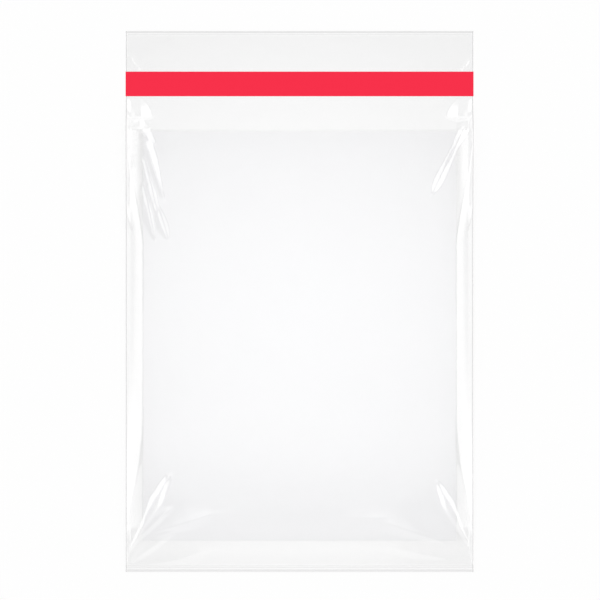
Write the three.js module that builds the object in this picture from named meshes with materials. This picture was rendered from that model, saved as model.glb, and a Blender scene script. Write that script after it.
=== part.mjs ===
// Self-seal clear film bag lying on its back with a blank sheet inside.
// Millimetres, +Z up, lip towards +Y, the table at z = 0.
import * as THREE from "three";
import { mergeGeometries, mergeVertices } from "three/addons/utils/BufferGeometryUtils.js";

// Bag film
const BAG_WIDTH = 240;
const BAG_LENGTH = 373;
const LIP_LENGTH = 68.3;
const FILM = 0.05;
const WELD_WIDTH = 0.9;
const WELD_BEAD = 0.25;
const SEAL_WIDTH = 4.5;
const SEAL_RIB = 0.25;
const HEM_WIDTH = 2.8;
const HEM_RISE = 0.2;

// How the filled bag lies: the front panel rides flat over the pouch and comes down to the sealed foot
const FRONT_LIFT = 5;
const SEAL_LIFT = 1;
const FOOT_RUN = 56;

// Sloping margin of the front panel along each weld, which dies out towards the foot and the mouth
const WELD_LIFT = 1.3;
const MARGIN = 11.6;
const MARGIN_BOW = 1.35;
const MARGIN_FOOT = 28;
const MARGIN_FOOT_TAPER = 64;
const MARGIN_MOUTH_TAPER = 91;
const MARGIN_LEAST = 0.06;

// Back panel and lip: curled up to the welds, and the lip buckled into a shelf at each side of the mouth.
// The crest is the share of the way to where the lip rests, the lean what the shelf loses towards the weld.
const CURL = 3;
const SHELF_WIDTH = 8.6;
const SHELF_RISE = 2.6;
const SHELF_TILT = 15;
const SHELF_CREST = 0.36;
const SHELF_LEAN = 0.3;

// Closure
const LINER_WIDTH = 17;
const LINER_DROP = 28;
const LINER_THICK = 0.08;
const ADHESIVE_WIDTH = 12;
const ADHESIVE_THICK = 0.06;
const BARE_WELD = 1.2;

// Sheet inside, sized by the room it leaves to the bag's edges
const SIDE_ROOM = 12;
const FOOT_ROOM = 21.5;
const MOUTH_ROOM = 1;
const SHEET_THICK = 0.4;

// Folds of the front panel, each a low ridge that runs from a corner of the pouch inwards and dies out.
// from and to are measured in from the corner, across the bag and then along it. wide gives a steep face's
// width along the ridge and tilt its slope in degrees, bow is how far the ridge arches, slack makes the
// outer face that many times as wide, and lens is a flat along the ridge's top. Below the list stand how far
// the folds reach, how far from a weld they are held flat, and the shares over which they rise and die out.
const FOLDS = [
  { side: -1, end: "foot", from: [1.5, 12.5], to: [31.8, 70.4], wide: [0.6, 2, 2.4, 4.2, 0.4], tilt: 15,
    bow: 0.6, slack: 1, lens: { wide: 3.4, from: 0.34, to: 0.74 } },
  { side: -1, end: "foot", from: [5.3, 20.1], to: [32.8, 45.6], wide: [0.6, 2.4, 2.8, 2.2, 0.4], tilt: 9,
    bow: 0, slack: 2.5 },
  { side: -1, end: "foot", from: [3.2, 6.3], to: [34.2, 28.4], wide: [0.6, 2.4, 3, 2.4, 0.4], tilt: 9,
    bow: 0, slack: 2.5 },
  { side: 1, end: "foot", from: [1.2, 15.3], to: [26.4, 64.9], wide: [0.6, 1.8, 2.4, 4, 0.4], tilt: 15,
    bow: 0.6, slack: 1, lens: { wide: 3.4, from: 0.28, to: 0.76 } },
  { side: -1, end: "mouth", from: [8.1, -8.8], to: [28.7, 54.6], wide: [3.4, 4.6, 2.4, 1.6, 0.2], tilt: 15,
    bow: 5.4, slack: 4 },
  { side: -1, end: "mouth", from: [14.9, 22.2], to: [28, 63.5], wide: [0.4, 1.7, 2.1, 1.7, 0.3], tilt: 13,
    bow: 0.8, slack: 5 },
  { side: -1, end: "mouth", from: [11.5, 33.2], to: [22.5, 81.4], wide: [0.4, 1.7, 2.2, 1.7, 0.3], tilt: 13,
    bow: 0.8, slack: 5 },
  { side: 1, end: "mouth", from: [4, -6.7], to: [30.2, 47], wide: [3.8, 2.6, 2.2, 3.8, 0.3], tilt: 15,
    bow: 0, slack: 1, lens: { wide: 1.8, from: 0.24, to: 0.64 } },
];
const NO_LENS = { wide: 0, from: 0, to: 1 };
const FOLD_REACH = 35;
const FOOT_FOLD_LENGTH = 71;
const MOUTH_FOLD_LENGTH = 83;
const FOLD_HOLD = 3;
const FOLD_START = 0.1;
const FOLD_END = 0.12;
const ROUNDED_CREST = 0.82;

const HALF = BAG_WIDTH / 2;
const FOOT = -BAG_LENGTH / 2;
const TOP = BAG_LENGTH / 2;
const MOUTH = TOP - LIP_LENGTH;
const WELD_LINE = HALF - WELD_WIDTH;
const SEAL_LINE = FOOT + SEAL_WIDTH;
const HEM_LINE = TOP - HEM_WIDTH;
const LINER_TOP = TOP - LINER_DROP;
const LINER_FOOT = LINER_TOP - LINER_WIDTH;
const SHEET_WIDTH = BAG_WIDTH - 2 * SIDE_ROOM;
const SHEET_FOOT = FOOT + FOOT_ROOM;
const SHEET_TOP = MOUTH - MOUTH_ROOM;
const SHELF_SLOPE = Math.tan(THREE.MathUtils.degToRad(SHELF_TILT));

// Lines where the film changes from flat to bent
const CURL_LINE = WELD_LINE - CURL;
const SHELF_EDGE = WELD_LINE - SHELF_WIDTH;
const SHELF_FOOT = SHELF_EDGE - SHELF_RISE / SHELF_SLOPE;
const LIP_REST = LINER_FOOT - BARE_WELD;
const FOLD_LINE = HALF - FOLD_REACH;
const FOOT_FOLDS = FOOT + FOOT_FOLD_LENGTH;
const MOUTH_FOLDS = MOUTH - MOUTH_FOLD_LENGTH;

function spread(from, to, cells) {
  const stations = [];
  for (let k = 0; k <= cells; k += 1) {
    stations.push(from + ((to - from) * k) / cells);
  }
  return stations;
}

function chain(...runs) {
  const stations = [...runs[0]];
  for (const run of runs.slice(1)) {
    stations.push(...run.slice(1));
  }
  return stations;
}

function mirrored(stations) {
  return stations.map((x) => -x).reverse();
}

function clamp(value) {
  return Math.min(1, Math.max(0, value));
}

function ease(value) {
  const t = clamp(value);
  return t * t * (3 - 2 * t);
}

// A curl that leaves the flat smoothly and reaches 1 at its end
function curled(value) {
  const t = clamp(value);
  return t * t * (1.5 - 0.5 * t);
}

// Columns and rows of points: close together where the film folds, far apart where it lies flat
const weldColumns = spread(WELD_LINE, HALF, 2);
const curlColumns = spread(CURL_LINE, WELD_LINE, 3);
const shelfColumns = chain(spread(SHELF_FOOT, SHELF_EDGE, 5), spread(SHELF_EDGE, CURL_LINE, 2));
const foldColumns = spread(FOLD_LINE, WELD_LINE, 16);
const pouchColumns = chain(mirrored(foldColumns), [-FOLD_LINE, FOLD_LINE], foldColumns);
const columns = chain(mirrored(weldColumns), pouchColumns, weldColumns);
const sideColumns = chain(curlColumns, weldColumns);
const backColumns = chain(mirrored(sideColumns), [-CURL_LINE, CURL_LINE], sideColumns);
const floorColumns = chain(mirrored(curlColumns), [-CURL_LINE, CURL_LINE], curlColumns);

const sealRows = spread(FOOT, SEAL_LINE, 6);
const pouchRows = chain(
  spread(SEAL_LINE, SHEET_FOOT, 6),
  spread(SHEET_FOOT, FOOT_FOLDS, 12),
  spread(FOOT_FOLDS, MOUTH_FOLDS, 5),
  spread(MOUTH_FOLDS, MOUTH, 23),
);
const shelfRows = spread(MOUTH, LIP_REST, 8);
const closureRows = [LIP_REST, LINER_FOOT - BARE_WELD / 2, LINER_TOP + BARE_WELD / 2, HEM_LINE];
const hemRows = spread(HEM_LINE, TOP, 3);
const lipRows = chain(shelfRows, closureRows, hemRows);
const frontRows = chain(sealRows, pouchRows);
const rows = chain(frontRows, lipRows);

// How far the front panel has risen from the sealed foot, 0 to 1
function settled(y) {
  return 1 - Math.exp(-Math.max(0, y - SEAL_LINE) / FOOT_RUN);
}

function frontLevel(y) {
  return SEAL_LIFT + (FRONT_LIFT - SEAL_LIFT) * settled(y);
}

// Share of its full width that the sloping margin has
function marginShare(y) {
  const fromFoot = (y - FOOT - MARGIN_FOOT) / MARGIN_FOOT_TAPER;
  const fromMouth = (MOUTH - y) / MARGIN_MOUTH_TAPER;
  const share = clamp(Math.min(fromFoot, fromMouth));
  return MARGIN_LEAST + (1 - MARGIN_LEAST) * (share + ease(share)) / 2;
}

// Height of the welded edge: low along the margin, up at the front panel's level where the margin dies out
function weldHeight(y) {
  const low = SEAL_LIFT + (WELD_LIFT - SEAL_LIFT) * settled(y);
  return frontLevel(y) - (frontLevel(y) - low) * marginShare(y);
}

// The lip's buckled shelf: steep on its inner side, nearly level out to the weld, gone where the lip rests
function lipShelf(x, y) {
  const up = (y - MOUTH) / (LIP_REST - MOUTH);
  const inside = WELD_LINE - Math.abs(x);
  const gone = clamp((up - SHELF_CREST) / (1 - SHELF_CREST)) ** 2;
  const high = SHELF_RISE * ease(up / SHELF_CREST) * (1 - gone);
  const step = clamp(1 - (inside - SHELF_WIDTH) * SHELF_SLOPE / SHELF_RISE);
  return high * step * (1 - SHELF_LEAN * (1 - ease(inside / SHELF_WIDTH)));
}

// Height of the back panel's underside: flat under the sheet, curling up to the welds and to the foot
function underside(x, y) {
  const fall = 1 - ease((y - MOUTH) / (LIP_REST - MOUTH));
  const edge = weldHeight(Math.min(y, MOUTH)) * fall;
  const shelf = lipShelf(x, y);
  const side = shelf + (edge - shelf) * curled((Math.abs(x) - CURL_LINE) / CURL);
  return Math.max(side, SEAL_LIFT * curled((SHEET_FOOT - y) / (SHEET_FOOT - SEAL_LINE)));
}

// Bead left by the hot knife along each side, absent where the liner crosses the edge
function bead(x, y) {
  const across = (Math.abs(x) - WELD_LINE) / WELD_WIDTH;
  if (across <= 0 || (y > LINER_FOOT - BARE_WELD && y < LINER_TOP + BARE_WELD)) {
    return 0;
  }
  return WELD_BEAD * Math.sin(Math.PI * across);
}

// Ribs pressed along the sealed foot
function sealRibs(y) {
  const along = clamp((SEAL_LINE - y) / SEAL_WIDTH);
  return SEAL_RIB * Math.sin(3 * Math.PI * along) ** 2;
}

// Lip edge turned over and tacked, a little fuller at the fold
function hem(y) {
  const along = (y - HEM_LINE) / HEM_WIDTH;
  if (along <= 0) {
    return 0;
  }
  return FILM + HEM_RISE * Math.sin(1.25 * Math.PI * along) ** 2;
}

// A steep face's width part of the way along its ridge
function faceWidth(wide, along) {
  const place = along * (wide.length - 1);
  const k = Math.min(Math.floor(place), wide.length - 2);
  return wide[k] + (wide[k + 1] - wide[k]) * ease(place - k);
}

function foldRise(x, y) {
  let rise = 0;
  for (const { side, end, from, to, wide, tilt, bow, slack, lens = NO_LENS } of FOLDS) {
    const inwards = end === "foot" ? 1 : -1;
    const corner = end === "foot" ? FOOT : MOUTH;
    const px = HALF - side * x - from[0];
    const py = inwards * (y - corner) - from[1];
    const dx = to[0] - from[0];
    const dy = to[1] - from[1];
    const long = Math.hypot(dx, dy);
    const along = clamp((px * dx + py * dy) / long ** 2);
    const off = (px * dy - py * dx) / long - 4 * bow * along * (1 - along);
    const face = faceWidth(wide, along);
    const flat = (lens.wide / 2) * Math.sin(Math.PI * clamp((along - lens.from) / (lens.to - lens.from)));
    const steep = ease(1 - (Math.abs(off) - flat) / face);
    const loose = clamp(1 - (Math.abs(off) - flat) / (slack * face)) ** 2;
    const ends = ease(along / FOLD_START) * ease((1 - along) / FOLD_END);
    const high = Math.tan(THREE.MathUtils.degToRad(tilt)) * face * ROUNDED_CREST;
    rise += high * ends * (off < 0 && slack > 1 ? loose : steep);
  }
  return rise;
}

// Height of the front panel's outer face
function frontFace(x, y) {
  const inside = WELD_LINE - Math.abs(x);
  const edge = weldHeight(y);
  const across = 1 - (1 - clamp(inside / (MARGIN * marginShare(y)))) ** MARGIN_BOW;
  const held = clamp(Math.min(inside, y - SEAL_LINE) / FOLD_HOLD);
  const rise = (frontLevel(y) - edge) * across + foldRise(x, y) * held;
  return edge + rise + 2 * FILM + bead(x, y) + sealRibs(y);
}

const lipFace = (x, y) => underside(x, y) + FILM + bead(x, y) + hem(y);
const pouchFloor = (x, y) => underside(x, y) + FILM;
const pouchRoof = (x, y) => frontFace(x, y) - FILM;

// A sheet of points at the given columns and rows, facing up or down
function sheet(xs, ys, height, facing) {
  const plane = new THREE.PlaneGeometry(1, 1, xs.length - 1, ys.length - 1);
  const points = plane.attributes.position;
  for (let j = 0; j < ys.length; j += 1) {
    for (let i = 0; i < xs.length; i += 1) {
      const y = ys[ys.length - 1 - j];
      points.setXYZ(j * xs.length + i, xs[i], y, height(xs[i], y));
    }
  }
  if (facing === "down") {
    plane.index.array.reverse();
  }
  return plane;
}

function faces(points, index, facing) {
  const geometry = new THREE.BufferGeometry();
  geometry.setAttribute("position", new THREE.Float32BufferAttribute(points.flat(), 3));
  geometry.setIndex(facing === "down" ? index.reverse() : index);
  return geometry;
}

// A strip between two rows whose points are spaced differently
function strip(nearColumns, nearY, farColumns, farY, height, facing) {
  const near = nearColumns.map((x) => [x, nearY, height(x, nearY)]);
  const far = farColumns.map((x) => [x, farY, height(x, farY)]);
  const index = [];
  let i = 0;
  let j = 0;
  while (i < near.length - 1 || j < far.length - 1) {
    const nearNext = i < near.length - 1 ? near[i + 1][0] : Infinity;
    const farNext = j < far.length - 1 ? far[j + 1][0] : Infinity;
    if (nearNext <= farNext) {
      index.push(i, i + 1, near.length + j);
      i += 1;
    } else {
      index.push(i, near.length + j + 1, near.length + j);
      j += 1;
    }
  }
  return faces([...near, ...far], index, facing);
}

// A wall between two heights along a run of points, seen with the run going to the right
function wall(run, low, high) {
  const plane = new THREE.PlaneGeometry(1, 1, run.length - 1, 1);
  const points = plane.attributes.position;
  run.forEach(([x, y], i) => {
    points.setXYZ(i, x, y, high(x, y));
    points.setXYZ(run.length + i, x, y, low(x, y));
  });
  return plane;
}

// A flat area filled from its middle out to the points around its rim
function flatFill(rim, level, facing) {
  const middle = (rim[0][1] + rim[Math.floor(rim.length / 2)][1]) / 2;
  const points = [[0, middle, level]];
  const index = [];
  rim.forEach(([x, y], i) => {
    points.push([x, y, level]);
    index.push(0, i + 1, ((i + 1) % rim.length) + 1);
  });
  return faces(points, index, facing);
}

function closed(pieces) {
  const bare = pieces.map((piece) => {
    piece.deleteAttribute("normal");
    piece.deleteAttribute("uv");
    return piece;
  });
  const joined = mergeVertices(mergeGeometries(bare), 1e-4);
  joined.computeVertexNormals();
  return joined;
}

function alongX(xs, y) {
  return xs.map((x) => [x, y]);
}

function alongY(x, ys) {
  return ys.map((y) => [x, y]);
}

const turned = (stations) => [...stations].reverse();

// A rim that is the same on both sides, given by its right half from the foot up
function evenRim(rightHalf) {
  return [...rightHalf, ...turned(rightHalf).map(([x, y]) => [-x, y])];
}

function filmBag() {
  const footRows = rows.filter((y) => y <= SHEET_FOOT).slice(1);
  const pouchFoot = pouchRows.filter((y) => y <= SHEET_FOOT).slice(1);
  const flatRows = pouchRows.filter((y) => y >= SHEET_FOOT);
  const pouchRim = evenRim([
    ...alongY(CURL_LINE, flatRows),
    ...alongX(turned(shelfColumns).slice(1), MOUTH),
    ...alongY(SHELF_FOOT, shelfRows.slice(1)),
  ]);
  const closureRim = evenRim([...alongX(shelfColumns, LIP_REST), ...alongY(CURL_LINE, closureRows.slice(1))]);
  const flat = [-CURL_LINE, CURL_LINE];
  const pieces = [
    strip(columns, FOOT, backColumns, rows[1], underside, "down"),
    sheet(flat, footRows, underside, "down"),
    sheet(flat, hemRows, underside, "down"),
    flatFill(pouchRim, 0, "down"),
    flatFill(closureRim, 0, "down"),
    strip(pouchColumns, SEAL_LINE, floorColumns, pouchRows[1], pouchFloor, "up"),
    sheet(flat, pouchFoot, pouchFloor, "up"),
    flatFill(pouchRim, FILM, "up"),
    flatFill(closureRim, FILM, "up"),
    sheet(flat, hemRows, lipFace, "up"),
    sheet(columns, frontRows, frontFace, "up"),
    sheet(pouchColumns, pouchRows, pouchRoof, "down"),
    wall(alongX(columns, FOOT), underside, lipFace),
    wall(alongX(columns, FOOT), lipFace, frontFace),
    wall(alongX(turned(backColumns), TOP), underside, lipFace),
    wall(alongX(turned(pouchColumns), MOUTH), pouchRoof, frontFace),
    wall(alongY(HALF, rows), underside, lipFace),
    wall(alongY(HALF, frontRows), lipFace, frontFace),
    wall(alongY(-HALF, turned(rows)), underside, lipFace),
    wall(alongY(-HALF, turned(frontRows)), lipFace, frontFace),
  ];
  for (const sided of [(run) => run, mirrored]) {
    pieces.push(
      sheet(sided(sideColumns), rows.slice(1), underside, "down"),
      sheet(sided(shelfColumns), shelfRows, underside, "down"),
      sheet(sided(curlColumns), pouchRows.slice(1), pouchFloor, "up"),
      sheet(sided(shelfColumns), shelfRows, lipFace, "up"),
      sheet(sided(sideColumns), lipRows, lipFace, "up"),
      wall(alongX(turned(sided(weldColumns)), MOUTH), lipFace, frontFace),
    );
  }
  return closed(pieces);
}

function slab(width, length, thick, y, z) {
  const box = new THREE.BoxGeometry(width, length, thick);
  box.translate(0, y, z + thick / 2);
  return box;
}

function part(name, geometry, colour, settings) {
  const material = new THREE.MeshStandardMaterial({ color: colour, ...settings });
  const mesh = new THREE.Mesh(geometry, material);
  mesh.name = name;
  return mesh;
}

const linerMiddle = LINER_FOOT + LINER_WIDTH / 2;
const adhesive = slab(BAG_WIDTH, ADHESIVE_WIDTH, ADHESIVE_THICK, linerMiddle, FILM);
const liner = slab(BAG_WIDTH, LINER_WIDTH, LINER_THICK, linerMiddle, FILM + ADHESIVE_THICK);
const sheetMiddle = (SHEET_FOOT + SHEET_TOP) / 2;
const insert = slab(SHEET_WIDTH, SHEET_TOP - SHEET_FOOT, SHEET_THICK, sheetMiddle, FILM);

const bag = new THREE.Group();
bag.name = "self_seal_bag";
bag.add(part("film_bag", filmBag(), "#eef3f5", { roughness: 0.08, transparent: true, opacity: 0.3 }));
bag.add(part("adhesive_strip", adhesive, "#f0ead8", { roughness: 0.4 }));
bag.add(part("release_liner", liner, "#f8304a", { roughness: 0.45 }));
bag.add(part("insert_sheet", insert, "#f6f6f4", { roughness: 0.9 }));

export default bag;
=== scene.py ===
"""Looks of a self-seal clear film bag that lies on its back with a blank card inside."""

import math
from collections import namedtuple
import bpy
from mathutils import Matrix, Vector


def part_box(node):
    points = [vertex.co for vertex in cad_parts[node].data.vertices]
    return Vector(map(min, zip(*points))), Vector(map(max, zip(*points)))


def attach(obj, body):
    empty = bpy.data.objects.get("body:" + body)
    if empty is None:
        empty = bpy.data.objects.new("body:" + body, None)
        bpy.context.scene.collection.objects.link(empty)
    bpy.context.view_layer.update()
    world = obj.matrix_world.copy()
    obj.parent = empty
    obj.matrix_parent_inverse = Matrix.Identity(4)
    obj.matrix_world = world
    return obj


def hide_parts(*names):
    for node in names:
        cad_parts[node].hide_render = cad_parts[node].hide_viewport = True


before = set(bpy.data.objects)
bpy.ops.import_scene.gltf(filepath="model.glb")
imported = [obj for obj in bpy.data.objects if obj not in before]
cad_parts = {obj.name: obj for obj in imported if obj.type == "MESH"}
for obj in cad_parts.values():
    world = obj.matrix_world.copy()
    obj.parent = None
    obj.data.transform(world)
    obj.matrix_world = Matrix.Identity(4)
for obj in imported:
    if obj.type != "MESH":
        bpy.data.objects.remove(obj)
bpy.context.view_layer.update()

from types import SimpleNamespace

import bpy
import numpy as np
from bpy.props import FloatProperty, FloatVectorProperty, PointerProperty
from bpy.types import Operator, Panel, PropertyGroup

bl_info = {
    "name": "Self-seal film bag",
    "version": (1, 0, 0),
    "blender": (4, 5, 0),
    "location": "View3D > Sidebar > Film bag",
    "description": "Clear film bag with a lip, a peel-off liner and a card in the pouch",
    "category": "Object",
}

FILM_LOW, FILM_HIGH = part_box("film_bag")
LINER_LOW, LINER_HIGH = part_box("release_liner")
CARD_LOW, CARD_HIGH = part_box("insert_sheet")
MM = 0.001

# Folds in the film. Each is a low ridge that runs from near a corner and dies out inwards. end is where it
# is measured from: the foot or the mouth for the front panel, the lip's top edge for the lip. start and
# finish are mm in from that corner (across, along), bow how far the ridge arches, tilt its steep faces' slope
# in degrees, widths a steep face's widths along it, run the outer face's width as a multiple, which is slack
# where it is over 1, and lens a flat along the ridge's top (width, from, to).
Fold = namedtuple("Fold", "side end start finish bow tilt widths run lens", defaults=((0.0, 0.0, 1.0),))
FOLDS = (
    # Foot, left: one crisp fold, two slack ones and two low puckers
    Fold(-1, "foot", (1.5, 12.5), (31.8, 70.4), 0.6, 15, (0.6, 2.0, 2.2, 4.2, 0.4), 1.0, (3.4, 0.34, 0.74)),
    Fold(-1, "foot", (5.3, 20.1), (32.8, 45.6), 0.0, 9, (0.6, 2.4, 2.8, 2.2, 0.4), 3.75),
    Fold(-1, "foot", (3.2, 6.3), (34.2, 28.4), 0.0, 9, (0.6, 2.4, 3.0, 2.4, 0.4), 3.75),
    Fold(-1, "foot", (15.6, 27.0), (62.5, 41.5), 0.6, 3.2, (0.8, 4.0, 6.5, 6.0, 1.5), 2.1),
    Fold(-1, "foot", (11.5, 2.2), (69.3, 22.2), 2.0, 2.6, (0.6, 4.0, 6.0, 5.4, 1.0), 2.1),
    # Foot, right: one crisp fold and two low puckers
    Fold(1, "foot", (1.2, 15.3), (26.4, 64.9), 0.6, 15, (0.6, 1.8, 2.1, 4.0, 0.4), 1.0, (3.4, 0.28, 0.76)),
    Fold(1, "foot", (17.8, 20.1), (81.1, 42.2), 0.8, 3.0, (0.8, 4.0, 6.5, 6.0, 1.5), 2.1),
    Fold(1, "foot", (16.4, 9.1), (70.1, 21.5), 1.0, 2.4, (0.6, 3.6, 5.0, 4.4, 0.6), 2.1),
    # Mouth, left: a broad fold in two strokes, and three narrow ones beside it
    Fold(-1, "mouth", (8.1, -8.1), (21.8, 10.2), -2.8, 15, (4.2, 6.0, 6.2, 4.0, 0.4), 8.0),
    Fold(-1, "mouth", (12.3, 5.0), (28.0, 50.4), 0.0, 15, (4.5, 5.6, 4.2, 1.9, 0.3), 10.0),
    Fold(-1, "mouth", (12.1, 16.7), (22.5, 58.0), 0.3, 15, (0.8, 1.4, 2.0, 2.8, 0.4), 3.5),
    Fold(-1, "mouth", (11.8, 36.0), (21.1, 78.0), 0.5, 15, (0.8, 2.0, 2.3, 1.8, 0.4), 3.5),
    Fold(-1, "mouth", (21.1, 49.7), (30.1, 76.6), 0.4, 13, (0.6, 2.2, 3.2, 2.8, 0.5), 2.5),
    # Mouth, right: one crisp fold
    Fold(1, "mouth", (4.0, -6.7), (30.2, 47.0), 0.0, 15, (5.4, 3.4, 1.9, 3.8, 0.3), 1.0, (1.8, 0.32, 0.66)),
    # Lip, above the liner: one small fold at each side
    Fold(-1, "lip", (2.2, 15.2), (10.2, 27.2), 0.6, 11, (0.5, 1.4, 1.9, 1.6, 0.3), 1.0),
    Fold(1, "lip", (1.6, 18.2), (8.2, 27.2), 0.4, 11, (0.6, 1.6, 2.0, 1.7, 0.3), 1.0),
    # Lip, at the mouth: where the mouth's folds run on over it
    Fold(-1, "lip", (8.1, 60.2), (21.8, 78.5), -2.8, 15, (4.2, 6.0, 6.2, 4.0, 0.4), 8.0),
    Fold(1, "lip", (2.3, 59.5), (11.6, 76.0), 0.0, 15, (0.6, 1.7, 2.0, 1.8, 0.4), 1.0),
)

# How far the folds reach up from the foot and down from the mouth, and half the width of the smooth film
# between them at the foot, half way up and at the mouth, in mm
FOOT_REACH, MOUTH_REACH = 74.5, 86
FOOT_SMOOTH, MIDDLE_SMOOTH, MOUTH_SMOOTH = 60, 106, 87

# Lines where the film is melted together and grey, in mm up from the foot and down from the lip's edge
FOOT_LINES = ((0.0, 1.8), (2.95, 3.55), (4.15, 4.5))
HEM_LINES = ((0.0, 1.4), (2.4, 2.8))

# Mirror gloss of the film seen straight on
FILM_GLOSS = 0.06

# Share of the floor that shows as plain white, while the rest takes light and shadow, its size in metres and
# how far it lies under the bag
FLOOR_WHITE = 0.86
FLOOR_SIZE = 40
FLOOR_DROP = 0.2 * MM

# The camera looks straight down. Its lens and sensor are in mm
CAMERA_PLACE = (0.31 * MM, 0.96 * MM, 1501.5 * MM)
CAMERA_LENS, CAMERA_SENSOR = 130.6, 36


def linear(hex_colour):
    """An sRGB hex colour as linear RGBA."""
    parts = [int(hex_colour[i:i + 2], 16) / 255 for i in (1, 3, 5)]
    return [p / 12.92 if p <= 0.04045 else ((p + 0.055) / 1.055) ** 2.4 for p in parts] + [1.0]


class FilmSizes(PropertyGroup):
    """Sizes of the film and of how the filled bag stands."""

    width: FloatProperty(name="Width", description="Across the bag, weld to weld",
                         default=FILM_HIGH.x - FILM_LOW.x, unit="LENGTH")
    length: FloatProperty(name="Length", description="From the foot to the edge of the lip",
                          default=FILM_HIGH.y - FILM_LOW.y, unit="LENGTH")
    lip: FloatProperty(name="Lip", description="Single film above the mouth",
                       default=68.3 * MM, unit="LENGTH")
    film: FloatProperty(name="Film", description="Thickness of the film", default=0.05 * MM, unit="LENGTH")
    weld: FloatProperty(name="Weld", description="Width of the side weld", default=0.9 * MM, unit="LENGTH")
    bead: FloatProperty(name="Bead", description="Rise of the side weld", default=0.25 * MM, unit="LENGTH")
    seal: FloatProperty(name="Seal", description="Width of the sealed foot", default=4.5 * MM, unit="LENGTH")
    rib: FloatProperty(name="Rib", description="Rise of the foot's ribs", default=0.25 * MM, unit="LENGTH")
    hem: FloatProperty(name="Hem", description="Width of the lip's turned hem",
                       default=2.8 * MM, unit="LENGTH")
    hem_rise: FloatProperty(name="Hem rise", description="Fullness of the hem",
                            default=0.2 * MM, unit="LENGTH")
    lift: FloatProperty(name="Edge lift", description="Height of the welds half way up",
                        default=1.3 * MM, unit="LENGTH")
    seal_lift: FloatProperty(name="Seal lift", description="Height of the sealed foot",
                             default=1 * MM, unit="LENGTH")
    plateau: FloatProperty(name="Plateau", description="Height of the front panel over the card",
                           default=5 * MM, unit="LENGTH")
    side_run: FloatProperty(name="Side run",
                            description="Widest run over which the front panel comes down to a weld",
                            default=11.6 * MM, unit="LENGTH")
    foot_start: FloatProperty(name="Foot start", description="Where that run starts, above the foot",
                              default=28 * MM, unit="LENGTH")
    foot_taper: FloatProperty(name="Foot taper", description="Length over which it grows to its widest",
                              default=64 * MM, unit="LENGTH")
    mouth_start: FloatProperty(name="Mouth start", description="Where that run starts, below the mouth",
                               default=12 * MM, unit="LENGTH")
    mouth_taper: FloatProperty(name="Mouth taper", description="Length over which it grows to its widest",
                               default=66 * MM, unit="LENGTH")
    foot_run: FloatProperty(name="Foot run",
                            description="Run over which the front panel comes down to the foot",
                            default=56 * MM, unit="LENGTH")
    curl: FloatProperty(name="Back curl", description="Run over which the back panel comes up to a weld",
                        default=3 * MM, unit="LENGTH")
    fall: FloatProperty(name="Lip fall", description="Run over which the lip's sides come down to the table",
                        default=20 * MM, unit="LENGTH")
    shelf: FloatProperty(name="Shelf", description="Width of the raised shelf at the lip's lower corners",
                         default=8.6 * MM, unit="LENGTH")
    shelf_rise: FloatProperty(name="Shelf rise", description="Height of that shelf",
                              default=2.6 * MM, unit="LENGTH")
    shelf_tilt: FloatProperty(name="Shelf tilt", description="Slope of that shelf's inner face",
                              default=math.radians(15), unit="ROTATION")
    back_tilt: FloatProperty(name="Back tilt", description="How the back rises from the card towards a weld",
                             default=math.radians(10), unit="ROTATION")


class BagColours(PropertyGroup):
    """Colours of the film, the liner, the adhesive and the card."""

    melted: FloatVectorProperty(name="Melted film",
                                description="Grey of the film where it is melted together",
                                subtype="COLOR", size=4, default=linear("#f8f8f8"))
    welded: FloatVectorProperty(name="Welded film", description="Grey of the line melted by the hot knife",
                                subtype="COLOR", size=4, default=linear("#ececec"))
    liner: FloatVectorProperty(name="Liner", description="Red of the release liner",
                               subtype="COLOR", size=4, default=linear("#f82f49"))
    adhesive: FloatVectorProperty(name="Adhesive", description="Faint straw of the adhesive",
                                  subtype="COLOR", size=4, default=linear("#f3eee0"))
    card: FloatVectorProperty(name="Card", description="White of the card",
                              subtype="COLOR", size=4, default=linear("#fcfcfd"))


def node(tree, kind, settings=None, **inputs):
    """Adds a node, sets what is given by name, and links or fills its inputs."""
    made = tree.nodes.new(kind)
    for key, value in (settings or {}).items():
        setattr(made, key, value)
    for key, value in inputs.items():
        place = int(key[1:]) if key[0] == "i" and key[1:].isdigit() else key.replace("_", " ")
        if isinstance(value, bpy.types.NodeSocket):
            tree.links.new(value, made.inputs[place])
        else:
            made.inputs[place].default_value = value
    return made


def new_material(name):
    material = bpy.data.materials.new(name)
    material.use_nodes = True
    material.node_tree.nodes.clear()
    return material, material.node_tree


def film_material(name, clear_colour, roughness):
    """Cast polypropylene film: clear, with a thin mirror gloss on each face that grows at a slant, and a
    cockle some 30 mm across that only shows where the gloss bends."""
    material, tree = new_material(name)
    place = node(tree, "ShaderNodeTexCoord")
    cockle = node(tree, "ShaderNodeTexNoise", Vector=place.outputs["Object"],
                  Scale=1 / (32 * MM), Detail=2.0)
    bump = node(tree, "ShaderNodeBump", Height=cockle.outputs[0], Strength=1.0, Distance=0.06 * MM)
    facing = node(tree, "ShaderNodeLayerWeight", Blend=0.5)
    slant = node(tree, "ShaderNodeMath", {"operation": "POWER"}, i0=facing.outputs["Facing"], i1=5.0)
    gloss = node(tree, "ShaderNodeMath", {"operation": "MULTIPLY_ADD"},
                 i0=slant.outputs[0], i1=1 - FILM_GLOSS, i2=FILM_GLOSS)
    clear = node(tree, "ShaderNodeBsdfTransparent", Color=clear_colour)
    shine = node(tree, "ShaderNodeBsdfAnisotropic", Color=(1, 1, 1, 1), Roughness=roughness,
                 Normal=bump.outputs[0])
    mix = node(tree, "ShaderNodeMixShader", i0=gloss.outputs[0], i1=clear.outputs[0], i2=shine.outputs[0])
    node(tree, "ShaderNodeOutputMaterial", Surface=mix.outputs[0])
    return material


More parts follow.
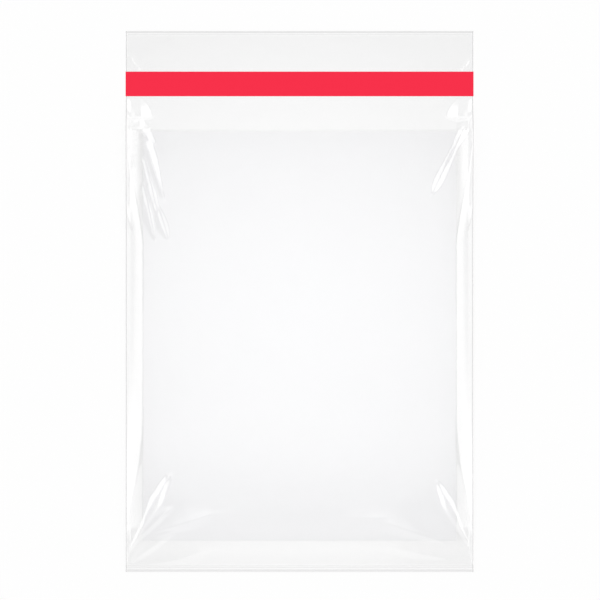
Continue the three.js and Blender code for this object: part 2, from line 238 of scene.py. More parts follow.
def liner_material(colour):
    """Polyethylene release liner, blown and silicone coated: even red, satin, with faint draw lines some
    17 mm long and 0.7 mm apart."""
    material, tree = new_material("polyethylene_liner_blown")
    place = node(tree, "ShaderNodeTexCoord")
    drawn = node(tree, "ShaderNodeMapping", Vector=place.outputs["Object"],
                 Scale=(1 / (16.7 * MM), 1 / (0.714 * MM), 1 / (16.7 * MM)))
    lines = node(tree, "ShaderNodeTexNoise", Vector=drawn.outputs[0], Scale=1.0, Detail=2.0)
    bump = node(tree, "ShaderNodeBump", Height=lines.outputs[0], Strength=0.05, Distance=0.2 * MM)
    body = node(tree, "ShaderNodeBsdfPrincipled", Base_Color=colour, Roughness=0.55, Normal=bump.outputs[0])
    body.inputs["Specular IOR Level"].default_value = 0.05
    node(tree, "ShaderNodeOutputMaterial", Surface=body.outputs[0])
    return material


def adhesive_material(colour):
    """Acrylic adhesive, roll coated: water clear and wet, with the roll's fine streaks along the band, some
    40 mm long and 1.1 mm apart."""
    material, tree = new_material("acrylic_adhesive_coated")
    place = node(tree, "ShaderNodeTexCoord")
    drawn = node(tree, "ShaderNodeMapping", Vector=place.outputs["Object"],
                 Scale=(1 / (40 * MM), 1 / (1.11 * MM), 1 / (40 * MM)))
    streaks = node(tree, "ShaderNodeTexNoise", Vector=drawn.outputs[0], Scale=1.0, Detail=3.0)
    bump = node(tree, "ShaderNodeBump", Height=streaks.outputs[0], Strength=0.2, Distance=0.1 * MM)
    body = node(tree, "ShaderNodeBsdfPrincipled", Base_Color=colour, Roughness=0.2, Alpha=0.12,
                Normal=bump.outputs[0])
    node(tree, "ShaderNodeOutputMaterial", Surface=body.outputs[0])
    return material


def card_material(colour):
    """Uncoated card, calendered: matt white with a fine fibre tooth, drawn at 0.7 mm so that it shows."""
    material, tree = new_material("uncoated_card_calendered")
    place = node(tree, "ShaderNodeTexCoord")
    fibre = node(tree, "ShaderNodeTexNoise", Vector=place.outputs["Object"],
                 Scale=1 / (0.7 * MM), Detail=3.0)
    bump = node(tree, "ShaderNodeBump", Height=fibre.outputs[0], Strength=0.04, Distance=0.2 * MM)
    body = node(tree, "ShaderNodeBsdfPrincipled", Base_Color=colour, Roughness=0.9, Normal=bump.outputs[0])
    body.inputs["Specular IOR Level"].default_value = 0.1
    node(tree, "ShaderNodeOutputMaterial", Surface=body.outputs[0])
    return material


def ease(value):
    """A step from nothing to one that starts and ends softly."""
    t = np.clip(value, 0.0, 1.0)
    return t * t * (3 - 2 * t)


def ramp(value):
    """A slope that starts softly from nothing and is straight past one."""
    u = np.maximum(value, 0.0)
    low = np.minimum(u, 1.0)
    return low ** 3 - low ** 4 / 2 + np.maximum(u - 1, 0)


def slope(place, start, finish, soft):
    """Height of a straight face between start and finish whose two ends are rounded over soft."""
    return soft * (ramp((place - start) / soft) - ramp((place - finish + soft) / soft))


def turn_up(share):
    """A rise from nothing to one that starts flat, as a panel's edge does where it leaves the table."""
    return share ** 2 * (1.5 - 0.5 * share)


def spread(along, widths):
    """Width part of the way along a fold, as a smooth curve through its widths."""
    place = np.clip(along, 0, 1) * (len(widths) - 1)
    k = np.minimum(place.astype(int), len(widths) - 2)
    width = np.asarray(widths)
    pull = np.gradient(width)
    first = width[k] + (place - k) * pull[k]
    last = width[k + 1] - (k + 1 - place) * pull[k + 1]
    return np.maximum(first + (last - first) * ease(place - k), 0.05)


class Form:
    """Heights of the film's faces, in mm, over points of the bag's outline."""

    # Shares of a fold's steep face that are rounded at its foot and at its crest
    SOFT, CREST = 0.25, 0.1
    # Shares of a fold's length over which it rises and dies out
    FOLD_RISE, FOLD_END = 0.1, 0.12
    # Run beside the welds and the foot seal over which the folds are held down
    FOLD_HELD = 3
    # Run above the mouth over which the lip's own folds start
    LIP_FOLD_RUN = 2.5
    # Least share of the side run, and the power that gives the front panel its fullness over it
    LEAST_BAND, FULLNESS = 0.05, 1.35
    # Ribs pressed across the foot, and half waves of the turned hem
    RIBS, HEM_WAVES = 3, 1.25
    # How far past the liner's edges the weld has no bead
    BARE_WELD = 1.2
    # Above the mouth, where the lip's shelf starts, the run it climbs in and where it starts to come down
    SHELF_START, SHELF_CLIMB, SHELF_CREST = 6, 3.5, 8
    # How far it ends short of the liner, what rounds its inner face, and its share of height at the weld
    SHELF_GAP, SHELF_ROUND, SHELF_WELD = 0.8, 0.5, 0.7
    # Runs over which the back's rise beside the card starts above the card's foot and ends above the mouth
    RISE_START, RISE_END = 12, 6
    # That rise is this share steeper at the card's foot, which goes over this run
    FOOT_STEEPER, FOOT_STEEPER_RUN = 0.2, 110
    # It is this share flatter at the mouth, from this far below it and over this run
    MOUTH_FLATTER, MOUTH_FLATTER_FROM, MOUTH_FLATTER_RUN = 0.1, 50, 40
    # It stays under this share of the weld's height
    RISE_LIMIT = 0.9

    def __init__(self, sizes):
        for key in sizes.__annotations__:
            setattr(self, key, getattr(sizes, key) / MM)
        self.shelf_tilt = sizes.shelf_tilt
        self.back_tilt = sizes.back_tilt
        self.half = self.width / 2
        self.top = FILM_HIGH.y / MM
        self.foot = FILM_LOW.y / MM
        self.mouth = self.top - self.lip
        self.weld_x = self.half - self.weld
        self.flat_x = self.weld_x - self.curl
        self.seal_y = self.foot + self.seal
        self.hem_y = self.top - self.hem
        self.card_x = CARD_HIGH.x / MM
        self.card_foot = CARD_LOW.y / MM
        self.liner = (LINER_LOW.y / MM, LINER_HIGH.y / MM)

    def settled(self, y):
        """Share of its full height that the front panel has reached above the foot."""
        return 1 - np.exp(-np.maximum(0, y - self.seal_y) / self.foot_run)

    def top_height(self, y):
        return self.seal_lift + (self.plateau - self.seal_lift) * self.settled(y)

    def band(self, y):
        """Share of the side run's full width, which tapers off to the foot and to the mouth."""
        from_foot = (y - self.foot - self.foot_start) / self.foot_taper
        from_mouth = (self.mouth - self.mouth_start - y) / self.mouth_taper
        share = np.clip(np.minimum(from_foot, from_mouth), 0, 1)
        return self.LEAST_BAND + (1 - self.LEAST_BAND) * (share + ease(share)) / 2

    def weld_height(self, y):
        low = self.seal_lift + (self.lift - self.seal_lift) * self.settled(y)
        return self.top_height(y) - (self.top_height(y) - low) * self.band(y)

    def lip_shelf(self, x, y):
        """Raised shelf at the lip's two lower corners, which comes down before the liner."""
        up = y - self.mouth
        length = self.liner[0] - self.SHELF_GAP - self.mouth - self.SHELF_CREST
        fade = np.clip((up - self.SHELF_CREST) / length, 0, 1)
        high = self.shelf_rise * ease((up - self.SHELF_START) / self.SHELF_CLIMB) * (1 - fade ** 2)
        inside = self.weld_x - np.abs(x)
        face = high / math.tan(self.shelf_tilt) + self.SHELF_ROUND
        step = slope(np.clip(1 - (inside - self.shelf) / face, 0, 1), 0, 1, self.SOFT) / (1 - self.SOFT)
        return high * step * (self.SHELF_WELD + (1 - self.SHELF_WELD) * ease(inside / self.shelf))

    def beside_card(self, x, y):
        """Rise of the back panel from the card's side towards a weld."""
        steeper = self.FOOT_STEEPER * (1 - ease((y - self.card_foot) / self.FOOT_STEEPER_RUN))
        near_mouth = ease((y - self.mouth + self.MOUTH_FLATTER_FROM) / self.MOUTH_FLATTER_RUN)
        steep = math.tan(self.back_tilt) * (1 + steeper - self.MOUTH_FLATTER * near_mouth)
        fade = ease((y - self.card_foot) / self.RISE_START) * (1 - ease((y - self.mouth) / self.RISE_END))
        limit = self.RISE_LIMIT * self.back_edge(y)
        return np.minimum(steep * np.maximum(np.abs(x) - self.card_x, 0), limit) * fade

    def back_edge(self, y):
        """Height of the back panel's sides, which follow the welds and come down along the lip."""
        return self.weld_height(np.minimum(y, self.mouth)) * (1 - ease((y - self.mouth) / self.fall))

    def back(self, x, y):
        """Underside of the bag: flat on the table, turned up at its sides and foot, folded along the lip."""
        aside = np.clip((np.abs(x) - self.flat_x) / self.curl, 0, 1)
        below = np.clip((self.card_foot - y) / (self.card_foot - self.seal_y), 0, 1)
        base = np.maximum(self.lip_shelf(x, y), self.beside_card(x, y))
        sides = base + (self.back_edge(y) - base) * turn_up(aside)
        lip_folds = self.folds(x, y, ("lip",)) * ease((y - self.mouth) / self.LIP_FOLD_RUN)
        return np.maximum(sides, self.seal_lift * turn_up(below)) + lip_folds

    def weld_bead(self, x, y):
        across = np.clip((np.abs(x) - self.weld_x) / self.weld, 0, 1)
        bare = (y > self.liner[0] - self.BARE_WELD) & (y < self.liner[1] + self.BARE_WELD)
        return np.where(bare, 0.0, self.bead * np.sin(np.pi * across))

    def foot_ribs(self, y):
        along = np.clip((self.seal_y - y) / self.seal, 0, 1)
        return self.rib * np.sin(self.RIBS * np.pi * along) ** 2

    def lip_hem(self, y):
        along = np.clip((y - self.hem_y) / self.hem, 0, 1)
        turned = self.film + self.hem_rise * np.sin(self.HEM_WAVES * np.pi * along) ** 2
        return np.where(along > 0, turned, 0.0)

    def ridge(self, place):
        """Height of a steep face, rounded at its foot and crisp at its top."""
        crest = ramp((place - 1 + self.CREST) / self.CREST)
        return self.SOFT * ramp(place / self.SOFT) - self.CREST * crest

    def folds(self, x, y, ends):
        """Height of the folds that run from the named ends, held down along the welds and the foot seal."""
        rise = np.zeros_like(x)
        corners = {"foot": (self.foot, 1), "mouth": (self.mouth, -1), "lip": (self.top, -1)}
        for fold in FOLDS:
            if fold.end not in ends:
                continue
            corner, inwards = corners[fold.end]
            across = self.half - fold.side * x - fold.start[0]
            up = inwards * (y - corner) - fold.start[1]
            dx, dy = fold.finish[0] - fold.start[0], fold.finish[1] - fold.start[1]
            long = math.hypot(dx, dy)
            along = np.clip((across * dx + up * dy) / long ** 2, 0, 1)
            off = (across * dy - up * dx) / long - fold.bow * 4 * along * (1 - along)
            wide = spread(along, fold.widths)
            top, begin, finish = fold.lens
            flat = top / 2 * np.sin(np.pi * np.clip((along - begin) / (finish - begin), 0, 1))
            fade = ease(along / self.FOLD_RISE) * ease((1 - along) / self.FOLD_END)
            shape = self.ridge(np.clip(1 - (np.abs(off) - flat) / wide, 0, 1))
            if fold.run > 1:
                slack = self.ridge(1.0) * np.clip(1 + (off + flat) / (fold.run * wide), 0, 1) ** 3
                shape = np.where(off < 0, slack, shape)
            rise += math.tan(math.radians(fold.tilt)) * wide * fade * shape
        free = np.minimum(self.weld_x - np.abs(x), y - self.seal_y)
        return rise * np.clip(free / self.FOLD_HELD, 0, 1)

    def front(self, x, y):
        """Outside of the front panel, which comes down to the welds and the foot."""
        inside = np.clip((self.weld_x - np.abs(x)) / (self.side_run * self.band(y)), 0, 1)
        across = 1 - (1 - inside) ** self.FULLNESS
        edge = self.weld_height(y)
        rise = (self.top_height(y) - edge) * across + self.folds(x, y, ("foot", "mouth"))
        return 2 * self.film + edge + rise + self.weld_bead(x, y) + self.foot_ribs(y)

    def lip_face(self, x, y):
        """Upper face of the single film of the lip."""
        return self.back(x, y) + self.film + self.weld_bead(x, y) + self.lip_hem(y)

    def floor(self, x, y):
        """Inside of the back panel, in the pouch."""
        return self.back(x, y) + self.film

    def roof(self, x, y):
        """Inside of the front panel, in the pouch."""
        return self.front(x, y) - self.film


def stations(*runs):
    """Places along a line from runs of (start, end, spacing)."""
    places = [runs[0][0]]
    for start, end, spacing in runs:
        cells = max(1, round(abs(end - start) / spacing))
        places += [start + (end - start) * k / cells for k in range(1, cells + 1)]
    return np.array(places)


def crowded(smooth, finish, wide_cells, close_cells):
    """Places out from the middle: wide cells over the smooth film, and close ones past it."""
    return stations((0, smooth, smooth / wide_cells), (smooth, finish, (finish - smooth) / close_cells))


def both_sides(*runs):
    """Runs of places on the right as one run from left to right."""
    right = np.concatenate([runs[0]] + [more[1:] for more in runs[1:]])
    return np.concatenate([-right[::-1], right[1:] if right[0] == 0 else right])


def run(x, y):
    """Points along a straight run, where one of x and y is fixed."""
    return np.stack(np.broadcast_arrays(x, y), 1)


def set_points(made, x, y, z):
    made.data.vertices.foreach_set("co", (np.stack([x, y, z], 1) * MM).ravel())
    made.data.update()


def points(made):
    co = np.zeros(len(made.data.vertices) * 3)
    made.data.vertices.foreach_get("co", co)
    return co.reshape(-1, 3)


def flip(made):
    bpy.ops.object.mode_set(mode="EDIT")
    bpy.ops.mesh.select_all(action="SELECT")
    bpy.ops.mesh.flip_normals()
    bpy.ops.object.mode_set(mode="OBJECT")


def patch(xs, ys, height, up=True, drift=()):
    """A grid whose points are moved to the given columns, rows and heights. Columns may drift to others."""
    bpy.ops.object.select_all(action="DESELECT")
    bpy.ops.mesh.primitive_grid_add(x_subdivisions=len(xs) - 1, y_subdivisions=len(ys) - 1, size=1)
    made = bpy.context.object
    co = points(made)
    column = np.rint((co[:, 0] + 0.5) * (len(xs) - 1)).astype(int)
    y = ys[np.rint((co[:, 1] + 0.5) * (len(ys) - 1)).astype(int)]
    x = xs[column]
    for other, start, finish in drift:
        x = x + (other[column] - x) * ease((y - start) / (finish - start))
    set_points(made, x, y, height(x, y))
    if not up:
        flip(made)
    return made


def rim_wall(x, y, low, high):
    """A narrow wall along a run of points, facing the side that has the run going to the right."""
    x, y = np.broadcast_arrays(x, y)
    bpy.ops.object.select_all(action="DESELECT")
    bpy.ops.mesh.primitive_grid_add(x_subdivisions=len(x) - 1, y_subdivisions=1, size=1)
    made = bpy.context.object
    co = points(made)
    place = np.rint((co[:, 0] + 0.5) * (len(x) - 1)).astype(int)
    x, y = x[place], y[place]
    set_points(made, x, y, np.where(co[:, 1] > 0, high(x, y), low(x, y)))
    return made


def fill(rim, height, up=True):
    """An area filled from its middle to the points round its rim."""
    bpy.ops.object.select_all(action="DESELECT")
    bpy.ops.mesh.primitive_circle_add(vertices=len(rim), radius=1, fill_type="TRIFAN")
    made = bpy.context.object
    co = points(made)
    ring = np.flatnonzero(np.hypot(co[:, 0], co[:, 1]) > 0.5)
    ring = ring[np.argsort(np.arctan2(co[ring, 1], co[ring, 0]))]
    place = np.tile(rim.mean(0), (len(co), 1))
    place[ring] = rim
    set_points(made, place[:, 0], place[:, 1], height(place[:, 0], place[:, 1]))
    if (made.data.polygons[0].normal.z > 0) != up:
        flip(made)
    return made


def joined(name, pieces):
    """Pieces as one closed mesh, its shared rims merged."""
    bpy.ops.object.select_all(action="DESELECT")
    for piece in pieces:
        piece.select_set(True)
    bpy.context.view_layer.objects.active = pieces[0]
    bpy.ops.object.join()
    bpy.ops.object.mode_set(mode="EDIT")
    bpy.ops.mesh.select_all(action="SELECT")
    bpy.ops.mesh.remove_doubles(threshold=0.002 * MM)
    bpy.ops.object.mode_set(mode="OBJECT")
    bpy.ops.object.shade_smooth_by_angle(angle=math.radians(50))
    made = bpy.context.object
    made.name = name
    made.data.name = name
    made.data.materials.clear()
    return made


def film_rows(form):
    """Rows in which the film's points lie, close where it folds and wide apart where it is plain."""
    rows = SimpleNamespace(foot_folds=form.foot + FOOT_REACH, mouth_folds=form.mouth - MOUTH_REACH)
    hem_start = form.hem_y - 0.6
    lip_folds_end = form.hem_y - 10
    seal = stations((form.foot, form.seal_y, 0.3))
    rows.below = stations((form.seal_y, form.card_foot, 0.8))
    rows.pouch = stations((form.card_foot, rows.foot_folds, 0.8), (rows.foot_folds, rows.mouth_folds, 10),
                          (rows.mouth_folds, form.mouth, 0.62))
    rows.plain = stations((form.mouth, form.liner[0], 0.7), (form.liner[0], form.liner[1], 6),
                          (form.liner[1], lip_folds_end, 0.7), (lip_folds_end, hem_start, 3))
    rows.hem = stations((hem_start, form.hem_y, 0.6), (form.hem_y, form.top, 0.35))
    rows.lip = np.concatenate([rows.plain, rows.hem[1:]])
    rows.inner = np.concatenate([rows.below, rows.pouch[1:]])
    rows.front = np.concatenate([seal, rows.inner[1:]])
    rows.all = np.concatenate([rows.front, rows.lip[1:]])
    rows.foot = np.concatenate([seal, rows.below[1:]])
    return rows


def film_columns(form, rows):
    """Columns in which the film's points lie. The front's columns drift on their way from the foot to the
    mouth, so that they stay close together where the folds are."""
    columns = SimpleNamespace()
    near_folds, wide_cells, drift_run, strip_step = 92, 6, 40, 0.65
    columns.weld = stations((form.weld_x, form.half, 0.225))
    margin = stations((form.card_x, form.flat_x, strip_step), (form.flat_x, form.weld_x, 0.6))
    at_foot = stations((0, FOOT_SMOOTH, 10), (FOOT_SMOOTH, near_folds, 1.6), (near_folds, form.card_x, 0.64))
    close_cells = len(at_foot) - 1 - wide_cells
    at_middle = crowded(MIDDLE_SMOOTH, form.card_x, wide_cells, close_cells)
    at_mouth = crowded(MOUTH_SMOOTH, form.card_x, wide_cells, close_cells)
    columns.pouch = both_sides(at_foot, margin)
    columns.mouth = both_sides(at_mouth, margin)
    columns.all = both_sides(at_foot, margin, columns.weld)
    above_foot = (rows.foot_folds, rows.foot_folds + drift_run)
    below_mouth = (rows.mouth_folds - drift_run, rows.mouth_folds)
    columns.drift = [(both_sides(at_middle, margin, columns.weld), *above_foot),
                     (both_sides(at_mouth, margin, columns.weld), *below_mouth)]
    columns.pouch_drift = [(both_sides(at_middle, margin), *above_foot), (columns.mouth, *below_mouth)]

    touch = 1e-6
    columns.side = columns.all[columns.all >= form.flat_x - touch]
    columns.pouch_side = columns.pouch[columns.pouch >= form.flat_x - touch]
    columns.field = columns.pouch[np.abs(columns.pouch) <= form.flat_x + touch]
    columns.card_side = at_foot[-2]
    columns.beside = np.array([columns.card_side, form.card_x, margin[1], form.flat_x])
    columns.shelf_x = form.weld_x - form.shelf - form.shelf_rise / math.tan(form.shelf_tilt) - 1
    columns.shelf = stations((columns.shelf_x, columns.card_side, strip_step),
                             (columns.card_side, form.card_x, strip_step),
                             (form.card_x, form.flat_x, strip_step))
    columns.lip_side = np.concatenate([columns.shelf, columns.side[1:]])
    return columns


def back_rims(form, columns, rows):
    """Rims of the back's plain areas: under the card and up the lip's middle, and at the lower and the upper
    end of the strip beside the card, where close columns meet wide ones."""
    card_side, field, shelf = columns.card_side, columns.field, columns.shelf
    right = np.concatenate([
        run(field[(field >= 0) & (field <= card_side)], form.card_foot),
        run(card_side, rows.pouch[1:]),
        run(shelf[shelf < card_side][::-1], form.mouth),
        run(columns.shelf_x, rows.plain[1:]),
    ])
    middle = np.concatenate([right, right[:0:-1] * (-1, 1)])
    lower = np.concatenate([run(field[field >= card_side], form.card_foot),
                            run(columns.beside[::-1], rows.pouch[1])])
    upper = np.concatenate([run(columns.beside, rows.pouch[-2]),
                            run(shelf[shelf >= card_side][::-1], form.mouth)])
    return middle, lower, upper


def film_patches(form):
    """The film's faces and edges, as patches that share the points of their rims."""
    rows = film_rows(form)
    columns = film_columns(form, rows)
    middle_rim, lower_rim, upper_rim = back_rims(form, columns, rows)
    lip_middle = np.array([-columns.shelf_x, columns.shelf_x])
    pieces = [
        patch(columns.field, rows.foot, form.back, up=False),
        patch(lip_middle, rows.hem, form.back, up=False),
        fill(middle_rim, form.back, up=False),
        patch(columns.field, rows.below, form.floor),
        fill(middle_rim, form.floor),
        patch(lip_middle, rows.hem, form.lip_face),
        patch(columns.all, rows.front, form.front, drift=columns.drift),
        patch(columns.pouch, rows.inner, form.roof, up=False, drift=columns.pouch_drift),
        rim_wall(columns.all, form.foot, form.back, form.lip_face),
        rim_wall(columns.all, form.foot, form.lip_face, form.front),
        rim_wall(both_sides(columns.lip_side)[::-1], form.top, form.back, form.lip_face),
        rim_wall(form.half, rows.all, form.back, form.lip_face),
        rim_wall(form.half, rows.front, form.lip_face, form.front),
        rim_wall(-form.half, rows.all[::-1], form.back, form.lip_face),
        rim_wall(-form.half, rows.front[::-1], form.lip_face, form.front),
        rim_wall(columns.mouth[::-1], form.mouth, form.roof, form.front),
    ]
    for turn in (1, -1):
        side, pouch_side, beside, lip_side = (
            places[::turn] * turn
            for places in (columns.side, columns.pouch_side, columns.beside, columns.lip_side))
        pieces += [
            patch(side, rows.front, form.back, up=False),
            patch(beside, rows.pouch[1:-1], form.back, up=False),
            fill(lower_rim * (turn, 1), form.back, up=False),
            fill(upper_rim * (turn, 1), form.back, up=False),
            patch(pouch_side, rows.inner, form.floor),
            patch(beside, rows.pouch[1:-1], form.floor),
            fill(lower_rim * (turn, 1), form.floor),
            fill(upper_rim * (turn, 1), form.floor),
            patch(lip_side, rows.lip, form.back, up=False),
            patch(lip_side, rows.lip, form.lip_face),
            rim_wall(columns.weld[::-turn] * turn, form.mouth, form.lip_face, form.front),
        ]
    return pieces


def mark_melted(bag, form):
    """Gives the pressed lines and the knife welds their own materials."""
    centre = np.zeros(len(bag.data.polygons) * 3)
    bag.data.polygons.foreach_get("center", centre)
    x, y, _ = centre.reshape(-1, 3).T / MM
    finish = np.zeros(len(x), np.int32)
    for low, high in FOOT_LINES:
        finish[(y - form.foot > low) & (y - form.foot < high)] = 1
    for low, high in HEM_LINES:
        finish[(form.top - y > low) & (form.top - y < high)] = 1
    finish[(np.abs(x) > form.weld_x) & (np.abs(x) < form.weld_x + form.weld / 2)] = 2
    bag.data.polygons.foreach_set("material_index", finish)
    bag.data.update()


class BAG_OT_film(Operator):
    """Models the folded and welded film"""

    bl_idname = "bag.film"
    bl_label = "Film"

    def execute(self, context):
        sizes = context.scene.bag_film
        colours = context.scene.bag_colours
        form = Form(sizes)
        bag = joined("clear_film", film_patches(form))
        bag.data.materials.append(film_material("polypropylene_film_cast", (1, 1, 1, 1), 0.02))
        bag.data.materials.append(film_material("polypropylene_film_melted", colours.melted, 0.15))
        bag.data.materials.append(film_material("polypropylene_film_knife_welded", colours.welded, 0.15))
        mark_melted(bag, form)
        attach(bag, "root")
        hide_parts("film_bag")
        return {"FINISHED"}


def thin_sheet(name, low, high, spacing, cut, air):
    """A flat closed sheet between two corners on a breath of air, its cut edges broken by a small bevel."""
    size = high - low
    middle = (low + high) / 2
    bpy.ops.object.select_all(action="DESELECT")
    bpy.ops.mesh.primitive_grid_add(x_subdivisions=max(2, round(size.x / spacing)),
                                    y_subdivisions=max(2, round(size.y / spacing)),
                                    size=1, location=(middle.x, middle.y, low.z + air))
    made = bpy.context.object
    made.scale = (size.x, size.y, 1)
    bpy.ops.object.transform_apply(location=True, rotation=True, scale=True)
    thick = made.modifiers.new("thickness", "SOLIDIFY")
    thick.thickness = size.z - air
    thick.offset = 1
    bpy.ops.object.modifier_apply(modifier=thick.name)
    edge = made.modifiers.new("cut_edge", "BEVEL")
    edge.width = cut
    edge.segments = 2
    edge.limit_method = "ANGLE"
    bpy.ops.object.modifier_apply(modifier=edge.name)
    bpy.ops.object.shade_smooth_by_angle(angle=math.radians(20))
    made.name = name
    made.data.name = name
    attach(made, "root")
    return made


class BAG_OT_closure(Operator):
    """Models the release liner and finishes the adhesive under it"""

    bl_idname = "bag.closure"
    bl_label = "Closure"

    def execute(self, context):
        colours = context.scene.bag_colours
        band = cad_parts["adhesive_strip"]
        band.data.materials.clear()
        band.data.materials.append(adhesive_material(colours.adhesive))
        liner = thin_sheet("liner_strip", LINER_LOW, LINER_HIGH,
                           spacing=4 * MM, cut=0.02 * MM, air=0.003 * MM)
        liner.data.materials.append(liner_material(colours.liner))
        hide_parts("release_liner")
        return {"FINISHED"}


class BAG_OT_card(Operator):
    """Models the card in the pouch"""

    bl_idname = "bag.card"
    bl_label = "Card"

    def execute(self, context):
        card = thin_sheet("card_sheet", CARD_LOW, CARD_HIGH, spacing=12 * MM, cut=0.1 * MM, air=0.01 * MM)
        card.data.materials.append(card_material(context.scene.bag_colours.card))
        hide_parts("insert_sheet")
        return {"FINISHED"}


def floor_material():
    """Matt white paper floor that the camera and the gloss see as white, with the object's shadow kept."""
    material, tree = new_material("floor_paper_white")
    ray = node(tree, "ShaderNodeLightPath")
    mirrored = node(tree, "ShaderNodeMath", {"operation": "MAXIMUM"},
                    i0=ray.outputs["Is Glossy Ray"], i1=ray.outputs["Is Transmission Ray"])
    seen = node(tree, "ShaderNodeMath", {"operation": "MAXIMUM"},
                i0=ray.outputs["Is Camera Ray"], i1=mirrored.outputs[0])
    share = node(tree, "ShaderNodeMath", {"operation": "MULTIPLY"}, i0=seen.outputs[0], i1=FLOOR_WHITE)
    matt = node(tree, "ShaderNodeBsdfDiffuse", Color=(0.95, 0.95, 0.95, 1))
    glow = node(tree, "ShaderNodeEmission", Color=(1, 1, 1, 1), Strength=1.0)
    mix = node(tree, "ShaderNodeMixShader", i0=share.outputs[0], i1=matt.outputs[0], i2=glow.outputs[0])
    node(tree, "ShaderNodeOutputMaterial", Surface=mix.outputs[0])
    return material


def oval_light(tree, direction, centre, radii):
    """Light that is full at a centre and falls to nothing at an oval round it."""
    oval = node(tree, "ShaderNodeVectorMath", {"operation": "MULTIPLY_ADD"}, i0=direction,
                i1=(1 / radii[0], 1 / radii[1], 0), i2=(-centre[0] / radii[0], -centre[1] / radii[1], 0))
    square = node(tree, "ShaderNodeVectorMath", {"operation": "DOT_PRODUCT"},
                  i0=oval.outputs[0], i1=oval.outputs[0])
    fall = node(tree, "ShaderNodeMath", {"operation": "SUBTRACT", "use_clamp": True},
                i0=1.0, i1=square.outputs["Value"])
    return fall.outputs[0]


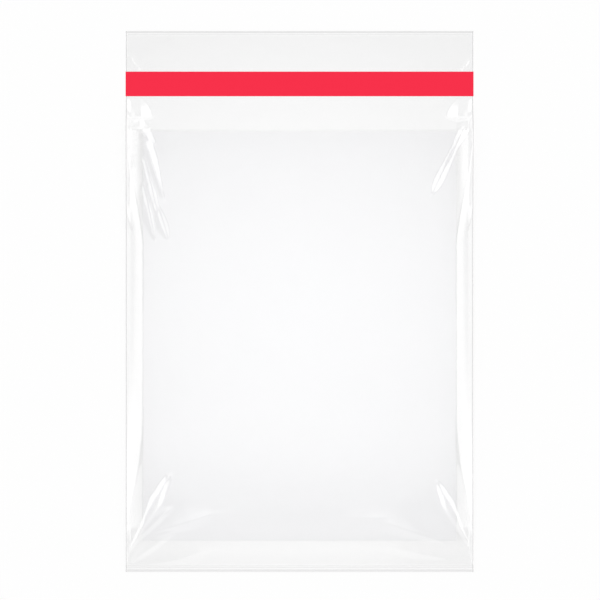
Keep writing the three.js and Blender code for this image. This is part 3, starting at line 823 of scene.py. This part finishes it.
def studio_world():
    """Soft studio light: one round diffuser overhead, a pale room that is brighter past the bag's foot and
    dim past its two corners there, and two long soft boxes at the sides that light the folds."""
    world = bpy.data.worlds.new("studio")
    world.use_nodes = True
    tree = world.node_tree
    tree.nodes.clear()
    smooth = {"interpolation_type": "SMOOTHSTEP"}
    place = node(tree, "ShaderNodeTexCoord")
    axis = node(tree, "ShaderNodeSeparateXYZ", Vector=place.outputs["Generated"])
    flat = node(tree, "ShaderNodeVectorMath", {"operation": "MULTIPLY"},
                i0=place.outputs["Generated"], i1=(1, 1, 0))
    reach = node(tree, "ShaderNodeVectorMath", {"operation": "LENGTH"}, i0=flat.outputs[0]).outputs["Value"]
    aside = node(tree, "ShaderNodeMath", {"operation": "ABSOLUTE"}, i0=axis.outputs["X"]).outputs[0]
    ahead = node(tree, "ShaderNodeMath", {"operation": "ABSOLUTE"}, i0=axis.outputs["Y"]).outputs[0]

    # Round diffuser overhead
    disc = oval_light(tree, flat.outputs[0], centre=(0, -0.018), radii=(0.148, 0.155))
    light = node(tree, "ShaderNodeMath", {"operation": "MULTIPLY"}, i0=disc, i1=1.33)

    # Pale ceiling round it, brighter past the foot
    outside = node(tree, "ShaderNodeMapRange", smooth, Value=reach, From_Min=0.095, From_Max=0.165)
    ceiling = node(tree, "ShaderNodeMapRange", smooth, Value=axis.outputs["Y"],
                   From_Min=-0.19, From_Max=-0.1, To_Min=0.57, To_Max=0.25)
    light = node(tree, "ShaderNodeMath", {"operation": "MULTIPLY_ADD"},
                 i0=outside.outputs[0], i1=ceiling.outputs[0], i2=light.outputs[0])

    # Glow where the diffuser gives way to the ceiling, on the foot's side
    within = node(tree, "ShaderNodeMapRange", smooth, Value=reach, From_Min=0.11, From_Max=0.15,
                  To_Min=0.17, To_Max=0.0)
    front = node(tree, "ShaderNodeMapRange", smooth, Value=axis.outputs["Y"], From_Min=-0.1, From_Max=-0.05,
                 To_Min=1.0, To_Max=0.0)
    light = node(tree, "ShaderNodeMath", {"operation": "MULTIPLY_ADD"},
                 i0=within.outputs[0], i1=front.outputs[0], i2=light.outputs[0])

    # Dim patch past each of the foot's two corners
    halves = node(tree, "ShaderNodeCombineXYZ", X=aside, Y=axis.outputs["Y"])
    corner = oval_light(tree, halves.outputs[0], centre=(0.09, -0.21), radii=(0.06, 0.09))
    light = node(tree, "ShaderNodeMath", {"operation": "MULTIPLY_ADD"},
                 i0=corner, i1=-0.26, i2=light.outputs[0])

    # Room's walls, lighter outwards and dark again down by the floor
    for near, far, level in ((0.2, 0.4, 0.19), (0.66, 0.84, 0.52), (0.88, 0.97, -0.5)):
        wall = node(tree, "ShaderNodeMapRange", smooth, Value=reach,
                    From_Min=near, From_Max=far, To_Max=level)
        light = node(tree, "ShaderNodeMath", {"operation": "ADD"}, i0=wall.outputs[0], i1=light.outputs[0])

    # Long soft box at each side
    inner = node(tree, "ShaderNodeMapRange", smooth, Value=aside, From_Min=0.26, From_Max=0.4, To_Max=1.4)
    outer = node(tree, "ShaderNodeMapRange", smooth, Value=aside, From_Min=0.59, From_Max=0.73,
                 To_Min=1.0, To_Max=0.0)
    length = node(tree, "ShaderNodeMapRange", smooth, Value=ahead, From_Min=0.35, From_Max=0.6,
                  To_Min=1.0, To_Max=0.0)
    box = node(tree, "ShaderNodeMath", {"operation": "MULTIPLY"}, i0=inner.outputs[0], i1=outer.outputs[0])
    light = node(tree, "ShaderNodeMath", {"operation": "MULTIPLY_ADD"},
                 i0=box.outputs[0], i1=length.outputs[0], i2=light.outputs[0])

    sky = node(tree, "ShaderNodeBackground", Color=(1, 1, 1, 1), Strength=light.outputs[0])
    node(tree, "ShaderNodeOutputWorld", Surface=sky.outputs[0])
    return world


class BAG_OT_stage(Operator):
    """Sets the floor, the light and the camera"""

    bl_idname = "bag.stage"
    bl_label = "Stage"

    def execute(self, context):
        scene = context.scene
        bpy.ops.object.select_all(action="DESELECT")
        bpy.ops.mesh.primitive_plane_add(size=FLOOR_SIZE, location=(0, 0, -FLOOR_DROP))
        floor = context.object
        floor.name = "floor"
        floor.data.materials.append(floor_material())
        scene.world = studio_world()
        data = bpy.data.cameras.new("camera")
        data.sensor_width = CAMERA_SENSOR
        data.lens = CAMERA_LENS
        camera = bpy.data.objects.new("camera", data)
        scene.collection.objects.link(camera)
        camera.location = CAMERA_PLACE
        scene.camera = camera
        scene.view_settings.view_transform = "Standard"
        return {"FINISHED"}


class BAG_PT_sidebar(Panel):
    """Lists the bag's pieces"""

    bl_idname = "BAG_PT_sidebar"
    bl_label = "Film bag"
    bl_space_type = "VIEW_3D"
    bl_region_type = "UI"
    bl_category = "Film bag"

    def draw(self, context):
        for operator in (BAG_OT_film, BAG_OT_closure, BAG_OT_card, BAG_OT_stage):
            self.layout.operator(operator.bl_idname)
        for group in (context.scene.bag_film, context.scene.bag_colours):
            for key in group.__annotations__:
                self.layout.prop(group, key)


CLASSES = (FilmSizes, BagColours, BAG_OT_film, BAG_OT_closure, BAG_OT_card, BAG_OT_stage, BAG_PT_sidebar)


def register():
    for item in CLASSES:
        bpy.utils.register_class(item)
    bpy.types.Scene.bag_film = PointerProperty(type=FilmSizes)
    bpy.types.Scene.bag_colours = PointerProperty(type=BagColours)


def unregister():
    del bpy.types.Scene.bag_colours
    del bpy.types.Scene.bag_film
    for item in reversed(CLASSES):
        bpy.utils.unregister_class(item)


def main():
    register()
    bpy.ops.bag.film()
    bpy.ops.bag.closure()
    bpy.ops.bag.card()
    bpy.ops.bag.stage()


if __name__ == "__main__":
    main()
